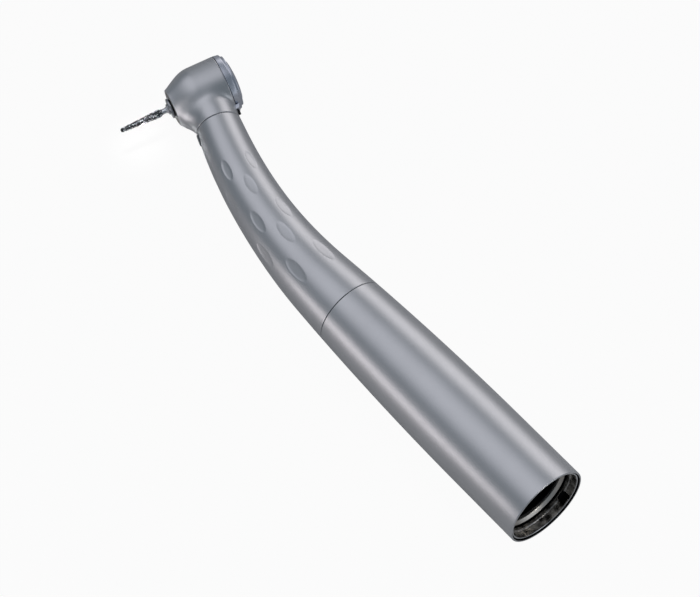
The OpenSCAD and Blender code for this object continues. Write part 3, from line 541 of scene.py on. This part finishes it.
def headCutters():   # bearing seat with its seal groove, chamber, passage down the neck, and spray recess
    low, high = -head["noseReach"] - head["overrun"], head["capSeam"] + head["overrun"]
    seat, start = head["bearingSeat"], head["passageStart"]
    sealBase, sealTop = head["sealMiddle"] - head["sealHalf"], head["sealMiddle"] + head["sealHalf"]
    bore = [(0, low), (head["opening"], low), (head["opening"], head["seatBase"]), (seat, head["seatBase"]),
            (seat, sealBase), (seat + head["sealDepth"], sealBase), (seat + head["sealDepth"], sealTop),
            (seat, sealTop), (seat, head["chamberFloor"]), (head["chamberRadius"], head["chamberFloor"]),
            (head["chamberRadius"], high), (0, high)]
    recessTop = -head["noseReach"] + head["sprayDepth"]
    recess = [(head["sprayInner"], low), (head["sprayOuter"], low), (head["sprayOuter"], recessTop),
              (head["sprayInner"], recessTop)]
    far = route["neckReach"] + head["overrun"]
    passage = [(0, start), (head["passage"], start), (head["passage"], far), (0, far)]
    down = Matrix.Rotation(math.radians(90 + route["neckTilt"]), 4, "X")
    return (lathe("headBore", bore, Matrix.Identity(4), 160, False),
            lathe("sprayRecess", recess, Matrix.Identity(4)),
            lathe("neckPassage", passage, down, 96, False))


def makeHeadShell():
    thing = addThing("headShell", bpy.data.meshes.new("headShell"))
    inputs = {
        "Radius": head["radius"], "Nose radius": head["noseRadius"], "Nose reach": head["noseReach"],
        "Nose height": head["noseHeight"], "Nose power": head["nosePower"],
        "Cap seam": head["capSeam"] - head["seamGap"], "Neck radius": route["neckRadius"],
        "Neck reach": route["neckReach"] - rear["seamGap"], "Neck start": head["neckStart"],
        "Blend": head["blend"], "Chin blend": head["chinBlend"], "Edge": head["edge"],
        "Material": satinSteel,
    }
    bake(thing, headTree(inputs), inputs)
    thing.data.shade_smooth()
    carve(thing, *headCutters(), sharp=40)
    thing.data.transform(headFrame())
    return thing


def makeSpigot():   # tube behind the head that plugs into the grip
    low, high = -head["spigotLength"], head["spigotRoot"]
    inner, outer = head["passage"], head["spigotRadius"]
    tube = lathe("neckSpigot", [(inner, low), (outer, low), (outer, high), (inner, high)],
                 sleeveFrame(route["neckSeam"]))
    return carve(tube, windowCutter())


headShell = finishPiece(makeHeadShell(), satinSteel, "shell", "satin_steel", "head_housing")
finishPiece(makeSpigot(), turnedSteel, "shell", "satin_steel")
print("head made", len(headShell.data.loop_triangles), len(headShell.data.polygons))


# Lug that locks the cap, on the neck behind it
lug = {
    "near": 5.7, "length": 1.0, "width": 1.7, "height": 0.95, "endHeight": 0.45, "endScale": 0.86,
    "root": 0.5, "round": 0.12,
}


def neckTop(reach):   # height of the neck's upper side at a distance from the head's axis
    tilt = math.radians(route["neckTilt"])
    return route["neckRadius"] / math.cos(tilt) - reach * math.tan(tilt)


def makeLug():
    near, far = lug["near"], lug["near"] + lug["length"]
    corners = rounded([
        (-near, neckTop(near) - lug["root"], 0), (-near, neckTop(near) + lug["height"], lug["round"]),
        (-far, neckTop(far) + lug["endHeight"], lug["round"]), (-far, neckTop(far) - lug["root"], 0)])
    half, inset = lug["width"] / 2, lug["round"]
    middle = np.mean(corners, axis=0)
    ends = lug["endScale"]   # ends drawn in, as filed
    layers = [(-half, ends), (-half + inset, 1.0), (half - inset, 1.0), (half, ends)]
    verts = [(x, *(middle + (np.array(c) - middle) * scale)) for x, scale in layers for c in corners]
    count, last = len(corners), len(verts) - len(corners)
    caps = [tuple(range(count)), tuple(range(last, last + count))]
    return makeObject("capLug", verts, ringFaces(len(layers), count, False) + caps, headFrame())


finishPiece(makeLug(), polishedSteel, "shell", "satin_steel")
print("lug made")


# Cap ring and push button
cap = {
    "radius": 5.6, "height": 1.21, "round": 0.4, "inner": 5.0, "floor": 4.04, "skirtRadius": 4.8,
    "skirtBase": 0.85, "webBase": 3.6, "hole": 1.3, "sealMiddle": 2.19, "rise": 0.05, "taper": 0.18,
}
button = {
    "radius": 4.95, "top": 2.41, "round": 0.9, "drop": 0.45, "base": 4.69, "wall": 0.5, "pin": 0.8,
    "pinEnd": 4.23, "domeSteps": 14,
}


def makeCapRing():
    base, top, seat = head["capSeam"] + cap["rise"], head["capSeam"] + cap["height"], head["bearingSeat"]
    sealBase, sealTop = cap["sealMiddle"] - head["sealHalf"], cap["sealMiddle"] + head["sealHalf"]
    profile = rounded([
        (seat, cap["skirtBase"], 0), (cap["skirtRadius"], cap["skirtBase"], 0.05),
        (cap["skirtRadius"], base, 0), (cap["radius"], base, 0.05),
        (cap["radius"] - cap["taper"], top, cap["round"]), (cap["inner"], top, 0.05),
        (cap["inner"], cap["floor"], 0), (cap["hole"], cap["floor"], 0), (cap["hole"], cap["webBase"], 0),
        (seat, cap["webBase"], 0), (seat, sealTop, 0), (seat + head["sealDepth"], sealTop, 0),
        (seat + head["sealDepth"], sealBase, 0), (seat, sealBase, 0)])
    return lathe("capRing", profile, headFrame())


def makeButton():
    top, edge = head["capSeam"] + button["top"], button["radius"]
    shares = [1 - k / button["domeSteps"] for k in range(button["domeSteps"] + 1)]
    dome = [((edge - button["round"]) * share, top - button["drop"] * share ** 2) for share in shares]
    profile = rounded([(edge - button["wall"], button["base"], 0), (edge, button["base"], 0.04),
                       (edge, top - button["drop"], button["round"])], steps=10)
    inside = top - button["drop"] - button["wall"]
    profile += dome[1:] + [(0, button["pinEnd"]), (button["pin"], button["pinEnd"]), (button["pin"], inside),
                           (edge - button["wall"], inside)]
    return lathe("buttonCap", profile, headFrame())


finishPiece(makeCapRing(), polishedSteel, "shell", "polished_steel", "head_cap")
finishPiece(makeButton(), polishedSteel, "button", "polished_steel", "push_button")
print("cap and button made")


# Rings in the rear opening
socket = {
    "mouth": 3.45, "overhang": 0.25, "entryRadius": 7.2, "entryWall": 0.28, "entryLength": 1.55,
    "step": 0.25, "stepLength": 0.6, "seat": 7.63, "ringInner": 6.2, "ringOuter": 6.82, "ringLength": 0.7,
    "ringBevel": 0.5, "ringFlat": 0.12, "bore": 5.6, "depth": 18.0, "seatGap": 0.02,
    "keyWidth": 2.2, "keyAngle": 138.0, "keyMargin": 0.25, "keyOverrun": 1.0,
    "outward": 0.3,   # the liner's faces that look out of the mouth by more than this get bright ground steel, a painted highlight on the lip
}


def makeEntryLiner():
    lip = -socket["mouth"] + socket["overhang"]
    step, end = lip + socket["entryLength"], lip + socket["entryLength"] + socket["stepLength"]
    wide, outer, seat = socket["entryRadius"], socket["entryRadius"] + socket["entryWall"], socket["seat"]
    narrow = wide - socket["step"]
    profile = rounded([
        (wide, lip, 0.13), (outer, lip, 0.08), (outer, step, 0), (seat, step, 0), (seat, end, 0),
        (narrow, end, 0.03), (narrow, step, 0.04), (wide, step, 0.03)], steps=3)
    thing = lathe("entryLiner", profile, Matrix.Identity(4), segments=192)
    low, high, half = lip + socket["keyMargin"], end - socket["keyMargin"], socket["keyWidth"] / 2
    far = seat + socket["keyOverrun"]
    corners = [(x, y, z) for x in (0, far) for y in (-half, half) for z in (low, high)]
    faces = [(0, 1, 3, 2), (4, 6, 7, 5), (0, 4, 5, 1), (2, 3, 7, 6), (0, 2, 6, 4), (1, 5, 7, 3)]
    turn = Matrix.Rotation(math.radians(socket["keyAngle"]), 4, "Z")
    carve(thing, makeObject("keyBlock", corners, faces, turn))
    thing.data.transform(sleeveFrame(0))
    return thing


def makeDetentRing():
    inner, outer, front = socket["ringInner"], socket["ringOuter"], -socket["ringLength"]
    return lathe("detentRing", rounded([
        (inner, front + socket["ringBevel"], 0.2), (outer - socket["ringFlat"], front, 0.15),
        (outer, front, 0.06), (outer, 0, 0), (inner, 0, 0)]), sleeveFrame(0))


def makeSocketBore():
    seat, bore, front = socket["ringOuter"] + socket["seatGap"], socket["bore"], -socket["ringLength"]
    return lathe("socketBore", rounded([
        (seat, front, 0), (socket["seat"], front, 0), (socket["seat"], socket["depth"], 0),
        (bore, socket["depth"], 0), (bore, 0, 0.15), (seat, 0, 0)]), sleeveFrame(0))


liner = finishPiece(makeEntryLiner(), linerSteel, "shell", "machined_steel", "entry_liner")
# faces looking out of the mouth take bright ground steel: a painted highlight on the lip
addFinish(liner, brightSteel, lambda face: face.normal.x > socket["outward"])
finishPiece(makeDetentRing(), ringSteel, "shell", "polished_steel", "detent_ring")
finishPiece(makeSocketBore(), boreAndShadeBlack, "shell", "dark_steel", "socket_body")
print("rear opening made")


# Bur: shank and neck, bond and grit
bur = {
    "shank": 0.8, "neck": 0.52, "widest": 0.73, "tip": 0.38, "reach": 17.25, "layer": 8.43,
    "shankTop": -1.75, "shankEnd": -7.75, "collar": 0.18, "neckSlope": 0.56, "tipSteps": 8,
}
grit = {   # super-coarse, and drawn coarser than real, to show
    "grain": 0.095, "spacing": 0.165, "density": 2e8, "sizes": (0.5, 1.25), "turn": 6.28, "seed": 4,
    "patch": 0.42, "brightBelow": 0.45,   # grains where a slow noise is below this are bright
}
spindle = {
    "hole": 0.85, "wideHole": 1.15, "step": -6.67, "shaft": 1.5875, "shaftBase": -5.97, "top": 3.53,
    "land": 1.3, "bossRadius": 1.0, "bossEnd": -7.7, "flangeRadius": 1.95, "flangeBase": -7.32,
    "flangeTop": -7.02, "flare": 0.1, "sealRadius": 1.66, "sealTop": -6.1,
}


def makeBurShank():
    shoulder = bur["shankEnd"] + bur["collar"]
    top = -bur["reach"] + bur["layer"]
    profile = rounded([(0, bur["shankTop"], 0), (bur["shank"], bur["shankTop"], 0.1),
                       (bur["shank"], shoulder, 0.08), (bur["neck"], shoulder - bur["neckSlope"], 0.3),
                       (bur["neck"], top, 0), (0, top, 0)])
    return lathe("burShank", profile, headFrame(), 64, False)


def makeBurCore():
    tip, top, steps = bur["tip"], -bur["reach"] + bur["layer"], bur["tipSteps"]
    turns = [k * math.pi / (2 * steps) for k in range(steps + 1)]
    nose = [(tip * math.sin(turn), -bur["reach"] + tip * (1 - math.cos(turn))) for turn in turns]
    return lathe("burCore", nose + [(bur["widest"], top - bur["widest"]), (bur["neck"], top), (0, top)],
                 headFrame(), 48, False)


def makeSpindle():   # hollow spindle with its flared flange under the nose
    return lathe("turbineSpindle", rounded([
        (spindle["hole"], spindle["bossEnd"], 0.03), (spindle["bossRadius"], spindle["bossEnd"], 0.06),
        (spindle["bossRadius"] + spindle["flare"], spindle["flangeBase"] - spindle["flare"], 0.1),
        (spindle["flangeRadius"], spindle["flangeBase"], 0.05),
        (spindle["flangeRadius"], spindle["flangeTop"], 0.05), (spindle["land"], spindle["flangeTop"], 0),
        (spindle["land"], spindle["shaftBase"], 0),
        (spindle["shaft"], spindle["shaftBase"], 0), (spindle["shaft"], spindle["top"], 0.1),
        (spindle["wideHole"], spindle["top"], 0.1), (spindle["wideHole"], spindle["step"], 0),
        (spindle["hole"], spindle["step"], 0)]), headFrame(), segments=96)


def makeDustSeal():   # black ring between the flange and the nose
    land, outer = spindle["land"], spindle["sealRadius"]
    return lathe("dustSeal", rounded([(land, spindle["flangeTop"], 0), (outer, spindle["flangeTop"], 0.05),
                                      (outer, spindle["sealTop"], 0.05), (land, spindle["sealTop"], 0)]),
                 headFrame(), segments=96)


def gritTree(inputs):
    # small crystals strewn over the bond, bright in patches
    tree, given = newTree("diamondGrit", inputs)
    strewn = addNode(tree, "GeometryNodeDistributePointsOnFaces", {"distribute_method": "POISSON"},
                     {"Mesh": given["Geometry"], "Distance Min": given["Spacing"],
                      "Density Max": grit["density"], "Seed": grit["seed"]})
    crystal = addNode(tree, "GeometryNodeMeshIcoSphere", {}, {"Radius": given["Grain"], "Subdivisions": 1})
    turn = addNode(tree, "FunctionNodeRandomValue", {"data_type": "FLOAT_VECTOR"},
                   {"Min": (0, 0, 0), "Max": (grit["turn"],) * 3, "Seed": grit["seed"]})
    least, most = grit["sizes"]
    size = addNode(tree, "FunctionNodeRandomValue", {"data_type": "FLOAT_VECTOR"},
                   {"Min": (least,) * 3, "Max": (most,) * 3, "Seed": grit["seed"] + 1})
    patch = addNode(tree, "ShaderNodeTexNoise", {}, {"Scale": 1 / (grit["patch"] * mm), "Detail": 1.0})
    pick = addNode(tree, "FunctionNodeCompare", {"data_type": "FLOAT", "operation": "LESS_THAN"},
                   {"A": patch, "B": given["Bright below"]})
    placed = addNode(tree, "GeometryNodeInstanceOnPoints", {},
                     {"Points": strewn, "Instance": crystal, "Rotation": turn, "Scale": size})
    picked = addNode(tree, "GeometryNodeStoreNamedAttribute", {"data_type": "BOOLEAN", "domain": "INSTANCE"},
                     {"Geometry": placed, "Name": "bright", "Value": pick})
    real = addNode(tree, "GeometryNodeRealizeInstances", {}, {"Geometry": picked})
    dark = addNode(tree, "GeometryNodeSetMaterial", {}, {"Geometry": real, "Material": given["Dark"]})
    isBright = addNode(tree, "GeometryNodeInputNamedAttribute", {"data_type": "BOOLEAN"}, {"Name": "bright"})
    both = addNode(tree, "GeometryNodeSetMaterial", {},
                   {"Geometry": dark, "Selection": isBright, "Material": given["Bright"]})
    addNode(tree, "NodeGroupOutput", {}, {"Geometry": both})
    return tree


burCore = makeBurCore()
burGrit = addThing("burGrit", burCore.data.copy())
gritInputs = {
    "Spacing": grit["spacing"] * mm, "Grain": grit["grain"] * mm, "Bright below": grit["brightBelow"],
    "Dark": nickelBond, "Bright": diamondCrystal,
}
bake(burGrit, gritTree(gritInputs), gritInputs)
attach(burGrit, "bur")
finishPiece(makeSpindle(), spindleSteel, "rotor", "spindle_steel", "spindle")
finishPiece(makeDustSeal(), sealRubber, "rotor", "seal_rubber")
finishPiece(makeBurShank(), brightSteel, "bur", "bearing_steel", "bur_shank")
finishPiece(burCore, nickelBond, "bur", "diamond_grit", "bur_diamond")
print("bur made", len(burGrit.data.polygons))


# Springs, copied from the CAD coils and put on their bodies
springs = {
    "pressedButtonSpring": {"node": "button_spring", "body": "shell", "joint": "button_press"},
    "pressedChuckSpring": {"node": "chuck_spring", "body": "rotor", "joint": "plunger_slide"},
}


def makeSpring(name, spring):
    coil, joint = nodes[spring["node"]].data, joints[spring["joint"]]
    thing = makeObject(name, [v.co / mm for v in coil.vertices], [f.vertices for f in coil.polygons],
                       Matrix.Scale(mm, 4))
    finishPiece(thing, brightSteel, spring["body"], "tube_steel", spring["node"])
    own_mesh(thing)


for name, spring in springs.items():
    makeSpring(name, spring)
print("springs made")


# CAD pieces that stay as they are, with their finishes
finishes = {
    turnedSteel: ("tube_plate", "spray_ring", "joint_ring"),
    brightSteel: ("drive_air_tube", "water_tube", "chip_air_tube", "preload_ring", "front_outer_ring",
                  "rear_outer_ring", "front_inner_ring", "rear_inner_ring"),
    spindleSteel: ("chuck_collet", "chuck_plunger"),
    cagePhenolic: ("front_cage", "rear_cage"), ballCeramic: ("front_balls", "rear_balls"),
    sealRubber: ("front_o_ring", "rear_o_ring"), goldAlloy: ("impeller",), lightGlass: ("light_guide",),
    windowGlass: ("light_window",), screwBlack: ("cap_lock",),
}
for material, names in finishes.items():
    for name in names:
        nodes[name].data.materials.clear()
        nodes[name].data.materials.append(material)
print("CAD pieces finished")


# Floor, lights and background
studio = {
    "floorHeight": -8.05, "floorSize": 3000.0, "floorColour": "#b8b8b8",
    "cameraShare": 0.955, "glossyShare": 0.078,   # how bright the floor is to the camera and to reflections
    "base": (0.169, 0.197, 0.224),   # cool light from all round
}
strips = [   # long soft panels: angle from overhead to +Y, half angles, where along X they rise and fall
    {"angle": -5.4, "inner": 2.0, "outer": 42.5, "rise": (-0.97, -0.78), "fall": (-0.1, 0.4),
     "colour": (0.56, 0.545, 0.58)},
    {"angle": 68.6, "inner": 1.0, "outer": 26.2, "rise": (-0.94, -0.76), "fall": (-0.12, 0.14),
     "colour": (0.99, 0.935, 0.945)},
    {"angle": 64.0, "inner": 1.0, "outer": 32.0, "rise": (0.42, 0.66), "fall": (1.0, 1.1),
     "colour": (0.64, 0.65, 0.69)},
]


def makeFloor():
    size, height = studio["floorSize"] * mm, studio["floorHeight"] * mm
    mesh = bpy.data.meshes.new("floor")
    corners = [(-size, -size, height), (size, -size, height), (size, size, height), (-size, size, height)]
    mesh.from_pydata(corners, [], [(0, 1, 2, 3)])
    floor = addThing("floor", mesh)
    material, tree, _ = newMaterial("paperFloor")
    paper = addNode(tree, "ShaderNodeBsdfDiffuse", {}, {"Color": linear(studio["floorColour"])})
    white = addNode(tree, "ShaderNodeEmission", {}, {"Strength": 1.0})
    path = addNode(tree, "ShaderNodeLightPath").node.outputs
    seen = mathNode(tree, "MAXIMUM", path["Is Camera Ray"], path["Is Transmission Ray"])
    direct = mathNode(tree, "MULTIPLY", seen, studio["cameraShare"])
    share = mathNode(tree, "MULTIPLY_ADD", path["Is Glossy Ray"], studio["glossyShare"], direct)
    mix = addNode(tree, "ShaderNodeMixShader", {}, {0: share, 1: paper, 2: white})
    addNode(tree, "ShaderNodeOutputMaterial", {}, {"Surface": mix})
    mesh.materials.append(material)


def easeNode(tree, value, span, ends=(0.0, 1.0)):   # eases between two ends as a value crosses a span
    return addNode(tree, "ShaderNodeMapRange", {"interpolation_type": "SMOOTHSTEP"}, {
        "Value": value, "From Min": span[0], "From Max": span[1], "To Min": ends[0], "To Max": ends[1]})


def addGlow(tree, total, facing, along, panel):   # adds a soft-edged panel to the room's light
    share = easeNode(tree, facing, [math.cos(math.radians(panel[side])) for side in ("outer", "inner")])
    rise = easeNode(tree, along, panel["rise"])
    fall = easeNode(tree, along, panel["fall"], (1.0, 0.0))
    reach = mathNode(tree, "MULTIPLY", rise, fall)
    lit = mathNode(tree, "MULTIPLY", share, reach)
    return vectorNode(tree, "MULTIPLY_ADD", lit, panel["colour"], total)


def makeRoom():
    world = bpy.data.worlds.new("studioRoom")
    world.use_nodes = True
    tree = world.node_tree
    tree.nodes.clear()
    direction = addNode(tree, "ShaderNodeTexCoord").node.outputs["Generated"]
    along = addNode(tree, "ShaderNodeSeparateXYZ", {}, {0: direction})
    across = vectorNode(tree, "MULTIPLY", direction, (0, 1, 1))
    around = vectorNode(tree, "NORMALIZE", across)
    total = studio["base"]
    for panel in strips:
        turn = math.radians(panel["angle"])
        facing = vectorNode(tree, "DOT_PRODUCT", around, (0, math.sin(turn), math.cos(turn)))
        total = addGlow(tree, total, facing, along, panel)
    shade = addNode(tree, "ShaderNodeBackground", {}, {"Color": total, "Strength": 1.0})
    addNode(tree, "ShaderNodeOutputWorld", {}, {"Surface": shade})
    bpy.context.scene.world = world


lamps = {   # the level is the panel's radiance and the beam is in degrees
    "sidePanel": {"place": (-85, -125, 12), "target": (-45, 0, 0), "size": (110, 40), "level": 1.42,
                  "beam": 180, "colour": (1.0, 0.92, 0.93)},
    "chinPanel": {"place": (-88, -111, 50), "target": (-103, 10, 0), "size": (62, 34), "level": 0.07,
                  "beam": 36, "colour": (1.0, 0.93, 0.92)},
    "rearPanel": {"place": (130, 40, 118), "target": (0, 0, 0), "size": (64, 64), "level": 0.17,
                  "beam": 18, "colour": (1.0, 0.97, 0.94)},
    "burPanel": {"place": (-101, -2, 70), "target": (-106.6, -3.4, 0), "size": (4, 4), "level": 8.0,
                 "beam": 10, "colour": (1.0, 1.0, 1.0)},
}


def addLamp(name, lamp):
    light = bpy.data.lights.new(name, "AREA")
    width, height = lamp["size"][0] * mm, lamp["size"][1] * mm
    light.shape, light.size, light.size_y = "RECTANGLE", width, height
    light.energy = lamp["level"] * math.pi * width * height
    light.color = lamp["colour"]
    light.spread = math.radians(lamp["beam"])
    thing = addThing(name, light)
    place, target = Vector(lamp["place"]) * mm, Vector(lamp["target"]) * mm
    thing.location = place
    thing.rotation_euler = (target - place).to_track_quat("-Z", "Y").to_euler()


makeFloor()
makeRoom()
for name, lamp in lamps.items():
    addLamp(name, lamp)
print("studio made")
